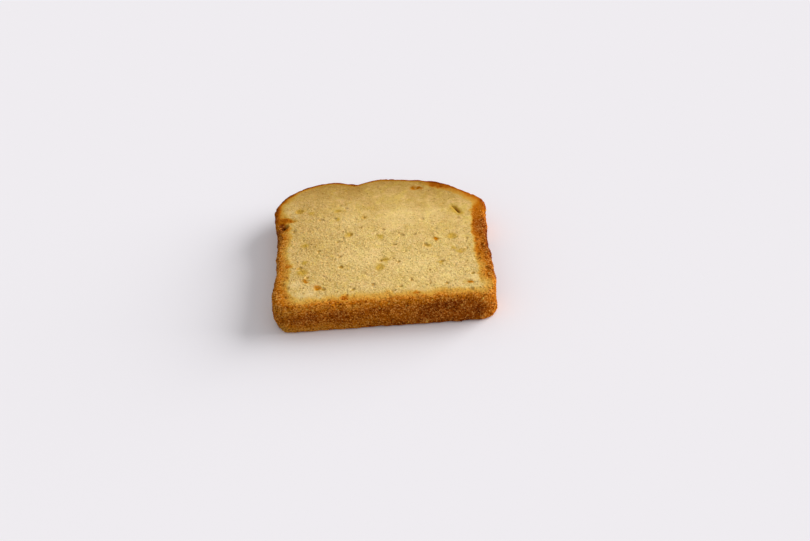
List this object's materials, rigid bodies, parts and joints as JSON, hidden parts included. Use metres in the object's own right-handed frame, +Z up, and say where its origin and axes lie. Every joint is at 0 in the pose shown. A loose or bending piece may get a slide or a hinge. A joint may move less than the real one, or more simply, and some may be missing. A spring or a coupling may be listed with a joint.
{
  "type": "oat loaf cake slice",
  "caption": "Slice of plain loaf cake lying flat on a cut face: pale close crumb with small air holes, a browned craggy crust round the edge and a split, domed top.",
  "frame": {"origin": "under the middle of the slice's box, on the surface that it rests on", "axes": "+X across the loaf, with the overhanging lip of the dome on the -X side; +Y from the base crust to the dome; +Z up through the thickness"},
  "size_m": [0.101, 0.0968, 0.0142],
  "materials": {
    "crumb": null,
    "crust": null
  },
  "bodies": {
    "root": {"cake_slice": "crumb"}
  },
  "joints": []
}
